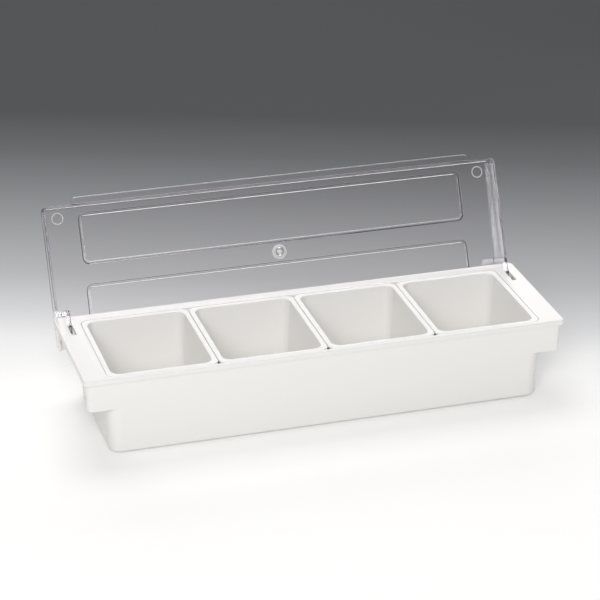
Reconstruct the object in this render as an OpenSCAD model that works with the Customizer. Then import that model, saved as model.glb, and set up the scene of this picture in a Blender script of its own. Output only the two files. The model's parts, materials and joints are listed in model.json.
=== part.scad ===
// Condiment caddy: a white moulded base, four lift-out inserts and one clear lid that tips open
// on two gooseneck arms. It is drawn with the lid open, as it stands in use.
// Millimetres, +Z up, +X along the length, -Y towards the user.
// The origin is the centre of the underside of the base.

/* [Base] */
// Length of the base over both end flanges
base_len = 495; // [440:1:560]
// Width of the base from front to back
base_w = 150; // [130:1:180]
// Height of the base
base_h = 84.5; // [78:0.5:110]
// Thickness of the moulded walls
wall_t = 2.3; // [1.8:0.1:3]
// Thickness of the deck on the end flanges
deck_t = 2.8; // [2.2:0.1:3.6]
// Thickness of the floor of the tub
floor_t = 2.5; // [1.8:0.1:4]
// How far each end flange stands out past the tub
flange_len = 23.4; // [22.6:0.1:26]
// How far the top rim overhangs the skirt
rim_overhang = 2.7; // [1:0.1:4]
// Depth of the skirt, from the top of the base
skirt_drop = 34; // [28:0.5:40]
// Draft of the outer walls, in degrees
wall_draft = 1.25; // [0.5:0.05:2]
// Radius of the corners of the top rim
rim_corner_r = 5; // [3:0.1:8]
// Radius of the corners of the skirt
skirt_corner_r = 6; // [4:0.1:9]
// Radius of the upright corners of the tub
tub_corner_r = 13; // [11:0.1:18]
// Radius along the bottom edge of the tub
tub_foot_r = 3.5; // [3:0.1:8]
// Height of the tub's foot above the table
stand_h = 1.2; // [0.8:0.1:1.6]
// How far the standing face is set in from the tub's wall
stand_inset = 8; // [7:0.1:11]

/* [Finger cut-outs] */
// Height of the flange end that is left above the cut-out
grip_top_drop = 11.5; // [9:0.1:14]
// Width of the corner post beside the cut-out
grip_post = 7.5; // [6:0.1:12]
// Radius of the upper corners of the cut-out
grip_corner_r = 18; // [10:0.5:19]

/* [Well] */
// Rim that is left along the front of the well
land_front = 4.7; // [4:0.1:8]
// Rim that is left along the back of the well
land_back = 13.7; // [10:0.1:18]
// Flange that is left at each end of the well
land_end = 24.2; // [23.4:0.1:30]
// Depth of the recess that the insert rims lie in
recess_d = 2.8; // [2.2:0.1:4]
// Width of the seat that carries the insert rims
seat_w = 3.9; // [3:0.1:6]
// Thickness of the seat
seat_t = 1.8; // [1.4:0.1:3]

/* [Inserts] */
// Depth of an insert from the top of its rim
insert_d = 66; // [40:1:70]
// Thickness of the insert walls
insert_wall = 1.6; // [1.2:0.1:2.4]
// Thickness of the insert rims
insert_rim_t = 2.5; // [1.6:0.1:2.6]
// Radius of the outer corners of the insert rims
insert_rim_r = 8.5; // [5:0.1:9.5]
// Radius of the corners of the insert mouth
insert_mouth_r = 9; // [8.5:0.1:14]
// Radius along the bottom edge of an insert
insert_foot_r = 6; // [3:0.1:7]
// Draft of the insert walls, in degrees
insert_draft = 2; // [1:0.1:2.2]
// Gap round each rim and each body
insert_gap = 0.4; // [0.3:0.05:0.8]
// Height of a rim above its seat
seat_gap = 0.3; // [0.2:0.05:0.5]

/* [Lid] */
// Thickness of the clear panel
panel_t = 2.5; // [2:0.1:3.5]
// Thickness of the lid's front and side skirts
lid_skirt_t = 2.2; // [1.6:0.1:3]
// Depth of the front skirt
lid_skirt_front = 13.1; // [10:0.1:18]
// Depth of the side skirts at the hinge end
lid_skirt_rear = 15.5; // [11:0.1:19]
// How far the lid stops short of each end of the base
lid_end_inset = 3.9; // [3:0.1:6]
// How far the closed lid stops short of the front of the base
lid_front_inset = 0.9; // [0.3:0.1:2]
// Length of the panel behind the hinge line
lid_tail = 13.95; // [10:0.05:15]
// Radius of the corners of the lid
lid_corner_r = 5; // [3:0.1:8]
// Height of the closed lid above the base
lid_gap = 0.3; // [0.2:0.05:0.6]
// Angle that the open lid leans back past upright, in degrees
lid_lean = 25.2; // [15:0.1:28]

/* [Raised fields of the lid] */
// Margin between a field and the front or back edge of the lid
field_margin = 11.6; // [8:0.1:16]
// Margin between a field and the end of the lid
field_end = 39.7; // [30:0.1:60]
// Space between the two fields
field_space = 25; // [18:0.1:32]
// Height that a field stands up
field_rise = 1.6; // [1:0.1:3]
// Radius of the corners of a field
field_corner_r = 4.5; // [3:0.1:8]

/* [Grip lip] */
// How far the grip lip stands out from the front skirt
lip_out = 7.2; // [5:0.1:12]
// Thickness of the grip lip
lip_t = 2.4; // [1.6:0.1:3.2]
// Distance from the end of the lid to the end of the grip lip
lip_end = 29.6; // [20:0.1:60]
// Radius of the free corners of the grip lip
lip_corner_r = 5; // [2:0.1:6]

/* [Hinge] */
// Distance from the back of the base to the hinge axis
hinge_setback = 18.7; // [17:0.1:22]
// Depth of the hinge axis below the top of the base
hinge_drop = 11.2; // [10:0.1:13]
// Distance from the end of the base to the middle of an arm
arm_inset = 13.2; // [11.2:0.1:13.6]
// Thickness of an arm
arm_t = 3; // [2:0.1:3.6]
// Width of an arm, seen from its side
arm_w = 5.5; // [4:0.1:6]
// Distance from the hinge axis to the front face of an arm
arm_front = 24.35; // [23:0.05:26]
// How far an arm reaches below the hinge axis when the lid is closed
arm_reach = 8.4; // [7:0.1:10]
// Distance that the knee of an arm lies in front of the hinge axis when the lid is closed
knee_front = 8.1; // [7.5:0.1:9]
// Distance that the knee lies below the hinge axis when the lid is closed
knee_drop = 7.4; // [6.5:0.1:8]
// Radius of the eye at the end of an arm
eye_r = 4.5; // [3.6:0.1:5]
// Width of the foot that bonds an arm to the panel
foot_w = 8; // [6:0.1:9]
// Thickness of the foot
foot_t = 1.6; // [1:0.1:2]
// Length of the foot along the panel
foot_len = 24; // [16:0.5:28]
// Width of the slots that the arms pass through
slot_w = 5; // [4.8:0.1:5.6]
// Clearance at each end of a slot
slot_clear = 0.45; // [0.35:0.05:0.8]
// Radius of the hinge pins
pin_r = 2; // [1.5:0.05:2.5]
// Clearance of the pin in the arm's eye
eye_clear = 0.05; // [0.02:0.01:0.1]
// Clearance of the pin in the ribs of the base
pin_clear = 0.02; // [0.01:0.01:0.05]
// Thickness of the ribs that hold a hinge pin
rib_t = 2.4; // [1.8:0.1:2.6]

/* [Hidden] */
$fn = 64;
// Steps of a round edge, and how far a cut runs past the face that it opens
arc_steps = 5;
cut = 1;
// Inserts side by side, each with a node of its own
insert_count = 4;

half_len = base_len / 2;
half_w = base_w / 2;

// The rim is as deep as the recess and the seat beneath it
rim_t = recess_d + seat_t;
rim_z = base_h - rim_t;
deck_z = base_h - deck_t;
rim_edge_r = 1.2;
skirt_z = base_h - skirt_drop;
skirt_half_x = half_len - rim_overhang;
skirt_half_y = half_w - rim_overhang;
tub_half_x = half_len - flange_len;

// The well lies between the lands
well_half_x = half_len - land_end;
well_front_y = -half_w + land_front;
well_back_y = half_w - land_back;
well_half_y = (well_back_y - well_front_y) / 2;
well_mid_y = (well_back_y + well_front_y) / 2;

insert_len = (2 * well_half_x - (insert_count + 1) * insert_gap) / insert_count;
insert_half_x = insert_len / 2;
insert_half_y = well_half_y - insert_gap;
insert_pitch = insert_len + insert_gap;
insert_rim_z = base_h - recess_d + seat_gap;
insert_top_z = insert_rim_z + insert_rim_t;
insert_foot_z = insert_top_z - insert_d;
insert_body_r = insert_mouth_r + insert_wall;
insert_edge_r = 0.9;
mouth_flare = 0.9;

// The lid is drawn about its hinge axis, as if closed with the panel level
pivot_y = half_w - hinge_setback;
pivot_z = base_h - hinge_drop;
lid_half_x = half_len - lid_end_inset;
lid_reach = half_w - lid_front_inset + pivot_y;
skirt_to_arm = 1;
side_skirt_end = arm_front + skirt_to_arm;
lid_slope = atan((lid_skirt_rear - lid_skirt_front) / (lid_reach - side_skirt_end));
panel_z = lid_skirt_rear + side_skirt_end * tan(lid_slope) + (hinge_drop + lid_gap) / cos(lid_slope);
panel_half_y = (lid_reach + lid_tail) / 2;
panel_mid_y = (lid_tail - lid_reach) / 2;
panel_edge_r = 0.9;
open_angle = -(90 + lid_lean);
lid_travel = 90 + lid_lean + lid_slope;

field_half_x = lid_half_x - field_end;
field_half_y = (2 * panel_half_y - 2 * field_margin - field_space) / 4;
field_offset_y = field_space / 2 + field_half_y;
field_slope = 0.6;
field_skin = 2.4;

gate_r = 6.5;
gate_t = 1.2;
gate_nub_r = 2.2;
gate_nub_h = 3;
mark_r = 6;
mark_line = 0.7;
mark_h = 0.5;
mark_from_end = 16;
mark_from_front = 12.5;

// Arm: a bar square to the panel, a leg along its end and an eye on the hinge axis
arm_x = half_len - arm_inset;
arm_half_w = arm_w / 2;
root_d = 4;
bar_y = -arm_front + arm_half_w;
bar_end = [bar_y, arm_half_w - arm_reach];
knee = [-knee_front, -knee_drop];
arm_eye = [0, 0];
function turned(p, angle) = [p[0] * cos(angle) - p[1] * sin(angle), p[0] * sin(angle) + p[1] * cos(angle)];
function left_of(from, to) = turned(to - from, 90) / norm(to - from);
function inner_bend(at, side, next) = at + arm_half_w * (side + next) / (1 + side * next);
function outer_bend(at, side, next) =
    let (swing = acos(side * next))
        [for (i = [0:arc_steps]) at - arm_half_w * turned(side, swing * i / arc_steps)];
bar_end_open = turned(bar_end, open_angle);
knee_open = turned(knee, open_angle);

// Back face of the leg where it passes the deck with the lid open
leg_run = (bar_end_open[0] - knee_open[0]) / (bar_end_open[1] - knee_open[1]);
leg_middle_y = knee_open[0] + (hinge_drop - knee_open[1]) * leg_run;
leg_back_y = leg_middle_y + arm_half_w * sqrt(1 + leg_run * leg_run);
slot_front_y = pivot_y - arm_front * cos(lid_slope) - hinge_drop * sin(lid_slope) - slot_clear;
slot_back_y = pivot_y + leg_back_y + slot_clear;
rib_margin = 0.5;
rib_r = eye_r + rib_margin;
pin_inset = 0.1;
pin_len = slot_w + 2 * (rib_t - pin_inset);

plastic_white = [0.95, 0.95, 0.94];
plastic_clear = [0.84, 0.84, 0.88, 0.4];
steel = [0.72, 0.73, 0.75];

// Points [inset, height] of a round edge at the bottom and at the top of a wall
function foot_edge(inset, z, r) =
    [for (i = [0:arc_steps])
        let (a = 90 * i / arc_steps) [inset + r * (1 - sin(a)), z + r * (1 - cos(a))]];
function top_edge(inset, z, r) =
    [for (i = [0:arc_steps])
        let (a = 90 * i / arc_steps) [inset + r * (1 - cos(a)), z - r + r * sin(a)]];
function wall_inset(z) = (rim_z - z) * tan(wall_draft);

// Block with round upright corners, whose wall follows a list of [inset, height] from bottom to top
module profiled_block(half_x, half_y, corner_r, profile) {
    low = profile[0][1];
    high = profile[len(profile) - 1][1];
    run_x = half_x - corner_r;
    run_y = half_y - corner_r;
    for (turn = [0:3])
        translate([(turn == 0 || turn == 3 ? 1 : -1) * run_x, (turn < 2 ? 1 : -1) * run_y, 0])
            rotate([0, 0, 90 * turn])
                rotate_extrude(angle = 90)
                    polygon([[0, low], for (p = profile) [corner_r - p[0], p[1]], [0, high]]);
    translate([-run_x, 0, 0])
        rotate([90, 0, 90])
            linear_extrude(2 * run_x)
                mirrored_profile(half_y, profile);
    translate([0, run_y, 0])
        rotate([90, 0, 0])
            linear_extrude(2 * run_y)
                mirrored_profile(half_x, profile);
}

module mirrored_profile(half, profile) {
    last = len(profile) - 1;
    right = [for (p = profile) [half - p[0], p[1]]];
    left = [for (i = [0:last]) [-right[last - i][0], right[last - i][1]]];
    polygon(concat(right, left));
}

module plain_block(half_x, half_y, corner_r, low, high) {
    profiled_block(half_x, half_y, corner_r, [[0, low], [0, high]]);
}

module rim_and_deck() {
    rim = concat([[0, rim_z]], top_edge(0, base_h, rim_edge_r));
    hollow_r = skirt_corner_r - wall_t;
    difference() {
        profiled_block(half_len, half_w, rim_corner_r, rim);
        plain_block(skirt_half_x - wall_t, skirt_half_y - wall_t, hollow_r, rim_z - cut, deck_z);
    }
}

module flange_skirt() {
    profile = [[wall_inset(skirt_z), skirt_z], [0, rim_z], [0, deck_z]];
    hollow = [[wall_inset(skirt_z - cut), skirt_z - cut], [0, rim_z], [0, deck_z + cut]];
    difference() {
        profiled_block(skirt_half_x, skirt_half_y, skirt_corner_r, profile);
        profiled_block(skirt_half_x - wall_t, skirt_half_y - wall_t, skirt_corner_r - wall_t, hollow);
    }
}

module tub() {
    inner_r = tub_foot_r - floor_t / 2;
    outer_foot = foot_edge(wall_inset(stand_h + tub_foot_r), stand_h, tub_foot_r);
    inner_foot = foot_edge(wall_inset(floor_t + inner_r), floor_t, inner_r);
    outer = concat(outer_foot, [[wall_inset(skirt_z), skirt_z], [0, rim_z], [0, deck_z]]);
    inner = concat(inner_foot, [[0, rim_z], [0, deck_z + cut]]);
    difference() {
        profiled_block(tub_half_x, skirt_half_y, tub_corner_r, outer);
        profiled_block(tub_half_x - wall_t, skirt_half_y - wall_t, tub_corner_r - wall_t, inner);
    }
}

// Standing face under the floor, set in so that the tub's foot clears the table
module stand() {
    stand_r = tub_corner_r - stand_inset;
    top_z = (stand_h + floor_t) / 2;
    plain_block(tub_half_x - stand_inset, skirt_half_y - stand_inset, stand_r, 0, top_z);
}

module seat_ring() {
    ring_r = insert_rim_r + wall_t;
    translate([0, well_mid_y, 0])
        plain_block(well_half_x + wall_t, well_half_y + wall_t, ring_r, rim_z, base_h - rim_edge_r);
}

module hinge_rib(x) {
    translate([x, pivot_y - rib_r, pivot_z])
        cube([rib_t, 2 * rib_r, deck_z - pivot_z + deck_t / 2]);
    translate([x, pivot_y, pivot_z])
        rotate([0, 90, 0])
            cylinder(r = rib_r, h = rib_t);
}

module both_hinge_ribs() {
    for (side = [-1, 1]) {
        hinge_rib(side * arm_x - slot_w / 2 - rib_t);
        hinge_rib(side * arm_x + slot_w / 2);
    }
}

module well_cut() {
    translate([0, well_mid_y, 0]) {
        plain_block(well_half_x, well_half_y, insert_rim_r + insert_gap, base_h - recess_d, base_h + cut);
        plain_block(well_half_x - seat_w, well_half_y - seat_w, insert_body_r, rim_z - cut, base_h);
    }
}

module slot_cuts() {
    for (side = [-1, 1])
        translate([side * arm_x - slot_w / 2, slot_front_y, pivot_z])
            cube([slot_w, slot_back_y - slot_front_y, hinge_drop + cut]);
}

module pin_bores() {
    for (side = [-1, 1])
        translate([side * arm_x, pivot_y, pivot_z])
            rotate([0, 90, 0])
                cylinder(r = pin_r + pin_clear, h = slot_w + 2 * rib_t + cut, center = true);
}

// Cut-outs that open the two flange ends for the fingers
module finger_cuts() {
    half_cut = half_w - grip_post;
    run_y = half_cut - grip_corner_r;
    top_z = base_h - grip_top_drop;
    from_x = skirt_half_x - 2 * wall_t;
    reach = half_len + cut - from_x;
    for (side = [-1, 1])
        translate([side * (from_x + reach / 2) - reach / 2, 0, 0]) {
            translate([0, -half_cut, skirt_z - cut])
                cube([reach, 2 * half_cut, top_z - grip_corner_r - skirt_z + cut]);
            translate([0, -run_y, skirt_z - cut])
                cube([reach, 2 * run_y, top_z - skirt_z + cut]);
            for (end = [-1, 1])
                translate([0, end * run_y, top_z - grip_corner_r])
                    rotate([0, 90, 0])
                        cylinder(r = grip_corner_r, h = reach);
        }
}

module caddy_base() {
    color(plastic_white)
        difference() {
            union() {
                rim_and_deck();
                flange_skirt();
                tub();
                stand();
                seat_ring();
                both_hinge_ribs();
            }
            well_cut();
            slot_cuts();
            pin_bores();
            finger_cuts();
        }
}

// Insert: its index counts from the left
module insert_tray(index) {
    body_half_x = insert_half_x - seat_w;
    body_half_y = insert_half_y - seat_w;
    slope = tan(insert_draft);
    depth = insert_rim_z - insert_foot_z;
    hollow_z = insert_foot_z + insert_wall;
    hollow_inset = (insert_rim_z - hollow_z) * slope;
    hollow_foot = foot_edge(hollow_inset, hollow_z, insert_foot_r - insert_wall);
    mouth = [for (p = top_edge(0, insert_top_z, mouth_flare)) [-p[0], p[1]]];
    rim = concat([[0, insert_rim_z]], top_edge(0, insert_top_z, insert_edge_r));
    body_foot = foot_edge(depth * slope, insert_foot_z, insert_foot_r);
    body = concat(body_foot, [[0, insert_rim_z + insert_rim_t / 2]]);
    hollow = concat(hollow_foot, mouth, [[-mouth_flare, insert_top_z + cut]]);
    translate([(index - (insert_count - 1) / 2) * insert_pitch, well_mid_y, 0])
        color(plastic_white)
            difference() {
                union() {
                    profiled_block(insert_half_x, insert_half_y, insert_rim_r, rim);
                    profiled_block(body_half_x, body_half_y, insert_body_r, body);
                }
                profiled_block(body_half_x - insert_wall, body_half_y - insert_wall, insert_mouth_r, hollow);
            }
}

module insert_far_left() {
    insert_tray(0);
}

module insert_mid_left() {
    insert_tray(1);
}

module insert_mid_right() {
    insert_tray(2);
}

module insert_far_right() {
    insert_tray(3);
}

// Places a lid piece, drawn about the hinge axis, where the open lid holds it
module open_lid() {
    translate([0, pivot_y, pivot_z])
        rotate([open_angle, 0, 0])
            children();
}

// Both raised fields, widened by extra, standing on the height z
module fields(extra, z) {
    for (end = [-1, 1])
        translate([0, panel_mid_y + end * field_offset_y, 0])
            profiled_block(field_half_x + extra, field_half_y + extra, field_corner_r + extra,
                [[0, z - cut], [0, z], [field_slope, z + field_rise]]);
}

module lid_skirts() {
    low = panel_z - lid_skirt_rear - cut;
    skirt_top = panel_z + panel_t / 2;
    inner_half_x = lid_half_x - lid_skirt_t;
    inner_half_y = panel_half_y - lid_skirt_t;
    inner_r = lid_corner_r - lid_skirt_t;
    difference() {
        translate([0, panel_mid_y, 0])
            difference() {
                plain_block(lid_half_x, panel_half_y, lid_corner_r, low, skirt_top);
                plain_block(inner_half_x, inner_half_y, inner_r, low - cut, skirt_top + cut);
            }
        translate([-half_len, -side_skirt_end, low - cut])
            cube([base_len, lid_reach, skirt_top + 2 * cut - low]);
        translate([-half_len, 0, 0])
            rotate([90, 0, 90])
                linear_extrude(base_len)
                    polygon([
                        [-lid_reach - cut, panel_z - lid_skirt_front],
                        [-lid_reach, panel_z - lid_skirt_front],
                        [-side_skirt_end, panel_z - lid_skirt_rear],
                        [-side_skirt_end, low - cut],
                        [-lid_reach - cut, low - cut]]);
    }
}

module grip_lip() {
    lip_half_x = lid_half_x - lip_end;
    lip_back_y = -lid_reach + lid_skirt_t / 2;
    lip_front_y = -lid_reach - lip_out;
    lip_z = panel_z - lid_skirt_front;
    intersection() {
        translate([0, lip_back_y, 0])
            plain_block(lip_half_x, lip_back_y - lip_front_y, lip_corner_r, lip_z, lip_z + lip_t);
        translate([-lip_half_x - cut, lip_front_y - cut, lip_z - cut])
            cube([2 * lip_half_x + 2 * cut, lip_back_y - lip_front_y + cut, lip_t + 2 * cut]);
    }
}

module maker_ring(side) {
    translate([side * (lid_half_x - mark_from_end), -lid_reach + mark_from_front, panel_z + panel_t / 2])
        rotate_extrude()
            translate([mark_r - mark_line, 0])
                square([mark_line, panel_t / 2 + mark_h]);
}

module gate_boss() {
    translate([0, panel_mid_y, panel_z - gate_t])
        cylinder(r = gate_r, h = gate_t + panel_t / 2);
    translate([0, panel_mid_y, panel_z - gate_nub_h])
        cylinder(r = gate_nub_r, h = gate_nub_h);
}

module lid_panel() {
    color(plastic_clear)
        open_lid()
            union() {
                difference() {
                    union() {
                        translate([0, panel_mid_y, 0])
                            profiled_block(lid_half_x, panel_half_y, lid_corner_r,
                                concat([[0, panel_z]], top_edge(0, panel_z + panel_t, panel_edge_r)));
                        fields(field_skin, panel_z + panel_t);
                    }
                    fields(0, panel_z);
                }
                lid_skirts();
                grip_lip();
                gate_boss();
                maker_ring(-1);
                maker_ring(1);
            }
}

// Side view of an arm, round on the outside of its two bends and cut off at the eye's centre
module arm_side() {
    bar_side = left_of([bar_y, panel_z], bar_end);
    leg_side = left_of(bar_end, knee);
    link_side = left_of(knee, arm_eye);
    root_end = foot_len - arm_front;
    polygon(concat(
        [[-arm_front, panel_z]],
        outer_bend(bar_end, bar_side, leg_side),
        outer_bend(knee, leg_side, link_side),
        [arm_eye - arm_half_w * link_side, arm_eye + arm_half_w * link_side],
        [inner_bend(knee, leg_side, link_side), inner_bend(bar_end, bar_side, leg_side)],
        [[arm_w - arm_front, panel_z - root_d], [root_end, panel_z - root_d], [root_end, panel_z]]));
}

module hinge_arm(side) {
    color(plastic_clear)
        translate([side * arm_x, 0, 0])
            open_lid()
                difference() {
                    union() {
                        translate([-foot_w / 2, -arm_front, panel_z - foot_t])
                            cube([foot_w, foot_len, foot_t]);
                        translate([-arm_t / 2, 0, 0])
                            rotate([90, 0, 90])
                                linear_extrude(arm_t)
                                    arm_side();
                        rotate([0, 90, 0])
                            cylinder(r = eye_r, h = arm_t, center = true);
                    }
                    rotate([0, 90, 0])
                        cylinder(r = pin_r + eye_clear, h = 2 * arm_t, center = true);
                }
}

module hinge_arm_left() {
    hinge_arm(-1);
}

module hinge_arm_right() {
    hinge_arm(1);
}

module hinge_pin(side) {
    color(steel)
        translate([side * arm_x, pivot_y, pivot_z])
            rotate([0, 90, 0])
                cylinder(r = pin_r, h = pin_len, center = true);
}

module hinge_pin_left() {
    hinge_pin(-1);
}

module hinge_pin_right() {
    hinge_pin(1);
}

caddy_base();
insert_far_left();
insert_mid_left();
insert_mid_right();
insert_far_right();
lid_panel();
hinge_arm_left();
hinge_arm_right();
hinge_pin_left();
hinge_pin_right();
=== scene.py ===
"""Condiment caddy with a clear flip lid: the pieces, finishes, floor, lamps and camera of its picture."""

import json
import logging
import math
from dataclasses import dataclass, field
from enum import Enum

import bmesh
import bpy
from mathutils import Matrix, Vector

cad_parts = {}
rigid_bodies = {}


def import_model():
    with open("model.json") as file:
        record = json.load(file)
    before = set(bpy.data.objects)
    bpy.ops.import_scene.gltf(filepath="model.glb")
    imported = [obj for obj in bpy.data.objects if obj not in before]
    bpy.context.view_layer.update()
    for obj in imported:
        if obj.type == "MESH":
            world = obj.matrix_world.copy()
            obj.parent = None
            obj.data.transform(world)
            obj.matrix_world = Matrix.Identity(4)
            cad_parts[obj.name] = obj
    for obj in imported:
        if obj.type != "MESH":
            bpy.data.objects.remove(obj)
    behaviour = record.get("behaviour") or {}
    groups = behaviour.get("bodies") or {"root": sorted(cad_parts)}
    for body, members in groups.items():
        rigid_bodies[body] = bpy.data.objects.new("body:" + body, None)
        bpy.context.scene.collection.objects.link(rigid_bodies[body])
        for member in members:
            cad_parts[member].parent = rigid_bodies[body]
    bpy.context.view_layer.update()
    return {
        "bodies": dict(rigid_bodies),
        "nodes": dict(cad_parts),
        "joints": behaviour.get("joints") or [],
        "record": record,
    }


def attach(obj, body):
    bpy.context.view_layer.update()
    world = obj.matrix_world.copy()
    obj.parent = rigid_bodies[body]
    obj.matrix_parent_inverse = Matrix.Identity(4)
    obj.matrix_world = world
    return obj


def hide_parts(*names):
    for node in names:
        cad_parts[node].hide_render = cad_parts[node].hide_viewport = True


LOG = logging.getLogger("caddy")
MM = 0.001
IMAGE_SIZE = 600
SENSOR_MM = 36.0
SHARP_DEG = 50.0

Colour = tuple[float, float, float]
Spot = tuple[float, float, float]
Point = tuple[float, float]


class NodeTree:
    """Adds nodes to a node tree and joins them."""

    def __init__(self, tree: bpy.types.NodeTree) -> None:
        """Keeps the tree that the nodes go into.

        Args:
            tree: A shader or geometry node tree.
        """
        self.tree = tree

    def add(self, kind: str, **settings: object) -> bpy.types.Node:
        """Adds a node.

        Args:
            kind: The node's type name.
            settings: Properties of the node, by name.

        Returns:
            The new node.
        """
        node = self.tree.nodes.new(kind)
        for name, value in settings.items():
            setattr(node, name, value)
        return node

    def join(self, source: bpy.types.NodeSocket, target: bpy.types.NodeSocket) -> None:
        """Links an output socket to an input socket."""
        self.tree.links.new(source, target)

    def feed(self, socket: bpy.types.NodeSocket, value: object) -> None:
        """Links a socket to an input, or gives the input a plain value.

        Args:
            socket: The input.
            value: A socket or a plain value.
        """
        if isinstance(value, bpy.types.NodeSocket):
            self.join(value, socket)
        else:
            socket.default_value = value

    def fed(self, kind: str, values: tuple, **settings: object) -> bpy.types.NodeSocket:
        """Adds a node and fills its inputs.

        Args:
            kind: The node's type name.
            values: Sockets or plain values for its inputs, in order.
            settings: Properties of the node, by name.

        Returns:
            The node's first output.
        """
        node = self.add(kind, **settings)
        for socket, value in zip(node.inputs, values):
            self.feed(socket, value)
        return node.outputs[0]

    def math(self, operation: str, *operands: object) -> bpy.types.NodeSocket:
        """Adds a Math node and gives its output."""
        return self.fed("ShaderNodeMath", operands, operation=operation)

    def vector_math(self, operation: str, *operands: object) -> bpy.types.NodeSocket:
        """Adds a Vector Math node and gives its vector."""
        return self.fed("ShaderNodeVectorMath", operands, operation=operation)

    def vector(self, x: object, y: object, z: object) -> bpy.types.NodeSocket:
        """Puts three numbers together as one vector."""
        return self.fed("ShaderNodeCombineXYZ", (x, y, z))

    def noise(self, place: bpy.types.NodeSocket, scale: float, detail: float) -> bpy.types.NodeSocket:
        """Adds a noise texture.

        Args:
            place: Where it is read.
            scale: Its scale.
            detail: How many finer layers it has.

        Returns:
            Its value, from 0 to 1.
        """
        texture = self.add("ShaderNodeTexNoise")
        texture.inputs["Scale"].default_value = scale
        texture.inputs["Detail"].default_value = detail
        self.join(place, texture.inputs["Vector"])
        return texture.outputs["Fac"]

    def around(self, value: bpy.types.NodeSocket, middle: float, spread: float) -> bpy.types.NodeSocket:
        """Turns a value from 0 to 1 into one that lies round a middle."""
        return self.math("MULTIPLY_ADD", value, spread, middle - spread / 2)


class Finish:
    """A named material that is made once."""

    name = "finish"

    def material(self) -> bpy.types.Material:
        """Makes the material, or finds it if it is there.

        Returns:
            The material.
        """
        made = bpy.data.materials.get(self.name)
        if made is None:
            made = bpy.data.materials.new(self.name)
            made.use_nodes = True
            made.node_tree.nodes.clear()
            nodes = NodeTree(made.node_tree)
            self.shade(nodes, nodes.add("ShaderNodeOutputMaterial"))
        return made

    def shade(self, nodes: NodeTree, output: bpy.types.Node) -> None:
        """Builds the shader of the finish."""
        raise NotImplementedError


@dataclass(frozen=True)
class MouldedWhite(Finish):
    """Glossy white plastic with the slight ripple and sheen of a moulded wall."""

    name: str = "moulded_white"
    colour: Colour = (0.87, 0.855, 0.835)
    roughness: float = 0.24
    ripple_scale: float = 55.0
    ripple_depth_m: float = 0.00002
    sheen_spread: float = 0.08
    ior: float = 1.5

    def shade(self, nodes: NodeTree, output: bpy.types.Node) -> None:
        """Builds the shader of the finish.

        Args:
            nodes: The material's tree.
            output: Its output node.
        """
        place = nodes.add("ShaderNodeTexCoord").outputs["Object"]
        ripple = nodes.noise(place, self.ripple_scale, 2.0)
        cloud = nodes.noise(place, self.ripple_scale / 4, 4.0)
        gloss = nodes.around(cloud, self.roughness, self.sheen_spread)
        bump = nodes.add("ShaderNodeBump")
        bump.inputs["Distance"].default_value = self.ripple_depth_m
        bump.inputs["Strength"].default_value = 1.0
        nodes.join(ripple, bump.inputs["Height"])
        plastic = nodes.add("ShaderNodeBsdfPrincipled")
        plastic.inputs["Base Color"].default_value = (*self.colour, 1)
        plastic.inputs["IOR"].default_value = self.ior
        nodes.join(gloss, plastic.inputs["Roughness"])
        nodes.join(bump.outputs["Normal"], plastic.inputs["Normal"])
        nodes.join(plastic.outputs[0], output.inputs["Surface"])


@dataclass(frozen=True)
class ClearPlastic(Finish):
    """Clear polycarbonate with a faint lilac depth and the haze of a handled surface."""

    name: str = "clear_plastic"
    colour: Colour = (1.0, 1.0, 1.0)
    roughness: float = 0.03
    haze_scale: float = 30.0
    haze_spread: float = 0.03
    haze_detail: float = 5.0
    ior: float = 1.5
    clearness: float = 1.0
    depth_colour: Colour = (0.55, 0.42, 0.57)
    depth_density: float = 34.0

    def shade(self, nodes: NodeTree, output: bpy.types.Node) -> None:
        """Builds the shader of the finish.

        Args:
            nodes: The material's tree.
            output: Its output node.
        """
        place = nodes.add("ShaderNodeTexCoord").outputs["Object"]
        haze = nodes.noise(place, self.haze_scale, self.haze_detail)
        gloss = nodes.around(haze, self.roughness, self.haze_spread)
        clear = nodes.add("ShaderNodeBsdfPrincipled")
        clear.inputs["Base Color"].default_value = (*self.colour, 1)
        clear.inputs["Transmission Weight"].default_value = self.clearness
        clear.inputs["IOR"].default_value = self.ior
        nodes.join(gloss, clear.inputs["Roughness"])
        through = nodes.fed("ShaderNodeBsdfTransparent", ((*self.colour, 1),))
        ray = nodes.add("ShaderNodeLightPath")
        lamp_or_bounce = nodes.math("MAXIMUM", ray.outputs["Is Shadow Ray"], ray.outputs["Is Diffuse Ray"])
        blend = nodes.fed("ShaderNodeMixShader", (lamp_or_bounce, clear.outputs[0], through))
        nodes.join(blend, output.inputs["Surface"])
        depth = nodes.fed("ShaderNodeVolumeAbsorption", ((*self.depth_colour, 1), self.depth_density))
        nodes.join(depth, output.inputs["Volume"])


@dataclass(frozen=True)
class FrostedPlastic(ClearPlastic):
    """The same plastic where the mould left it rough, as on the gate and the marks."""

    name: str = "frosted_plastic"
    clearness: float = 0.3
    roughness: float = 0.42
    haze_scale: float = 900.0
    haze_spread: float = 0.2


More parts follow.
